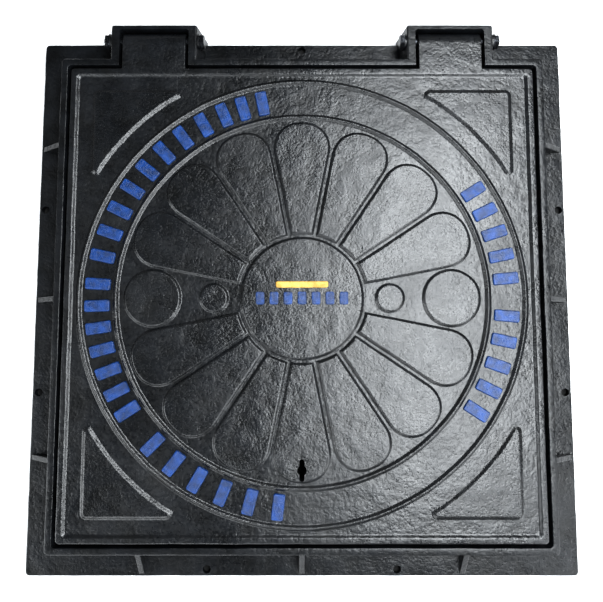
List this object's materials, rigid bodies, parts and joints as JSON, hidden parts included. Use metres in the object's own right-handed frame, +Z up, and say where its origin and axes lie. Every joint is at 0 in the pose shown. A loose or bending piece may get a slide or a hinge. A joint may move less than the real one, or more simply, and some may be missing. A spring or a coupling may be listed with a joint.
{
  "type": "manhole cover",
  "caption": "Square hinged cast iron manhole cover with its frame, raised tread pattern, key slot and bolted hinges.",
  "frame": {"origin": "middle of the underside of the frame's base flange, on the ground", "axes": "+Z up, +Y towards the hinges, +X to the right when the hinges are at the far side"},
  "size_m": [0.7, 0.7085, 0.0415],
  "materials": {
    "cast_iron_black": "sand-cast iron dipped in black bitumen paint, semi-gloss",
    "fastener_steel": "black bolts, slightly worn",
    "paint_blue": "gloss enamel brushed over the cast marks",
    "paint_yellow": "gloss enamel brushed over the cast bar"
  },
  "bodies": {
    "frame": {"frame": "cast_iron_black", "hinge_bolt_left": "fastener_steel", "hinge_bolt_right": "fastener_steel", "hinge_washer_left": "fastener_steel", "hinge_washer_right": "fastener_steel", "hinge_nut_left": "fastener_steel", "hinge_nut_right": "fastener_steel"},
    "lid": {"lid": "cast_iron_black", "ring_marks_left": "paint_blue", "ring_marks_right": "paint_blue", "hub_mark_row": "paint_blue", "hub_accent_bar": "paint_yellow"}
  },
  "joints": [
    {"name": "lid_hinge", "type": "hinge", "parent": "frame", "child": "lid", "pos_m": [0, 0.34, 0.03], "axis": [-1, 0, 0], "range_deg": [0, 100]}
  ]
}
